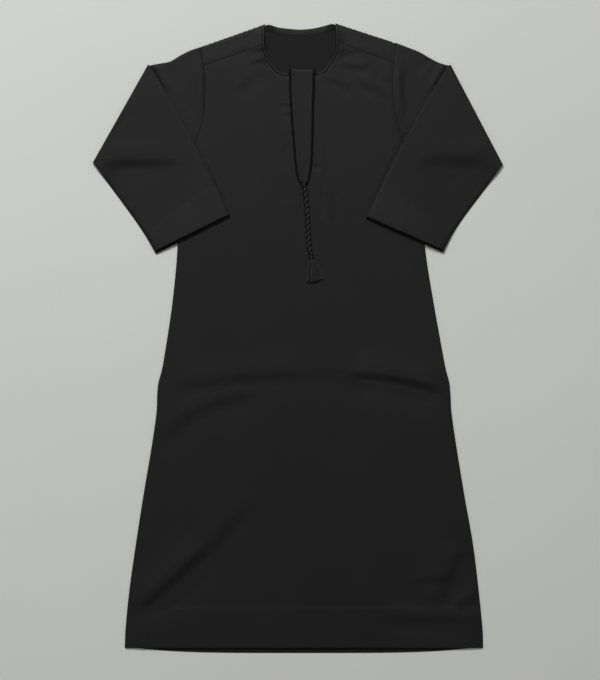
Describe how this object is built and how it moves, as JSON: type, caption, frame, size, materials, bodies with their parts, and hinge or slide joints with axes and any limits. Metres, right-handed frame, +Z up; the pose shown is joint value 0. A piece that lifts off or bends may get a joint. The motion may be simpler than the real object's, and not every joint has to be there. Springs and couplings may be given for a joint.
{
  "type": "thobe laid flat",
  "caption": "Collarless black thobe laid flat on its back, sleeves folded over the front, with a tapered placket and a twisted cord that ends in a tassel.",
  "frame": {"origin": "on the floor, under the middle of the laid-out outline", "axes": "+Z up from the floor; +Y along the garment's length, from the hem to the neck; +X to the right as the front is seen from above"},
  "size_m": [0.9291, 1.4268, 0.0166],
  "materials": {
    "body_cloth": "matt plain weave",
    "trim_cord": "twisted rayon, soft sheen"
  },
  "bodies": {
    "root": {"back": "body_cloth", "front": "body_cloth", "neckband": "body_cloth", "placket": "body_cloth", "piping_left": "trim_cord", "piping_right": "trim_cord", "sleeve_left": "body_cloth", "sleeve_right": "body_cloth", "cord_knot": "trim_cord", "cord": "trim_cord", "tassel": "trim_cord"}
  },
  "joints": []
}
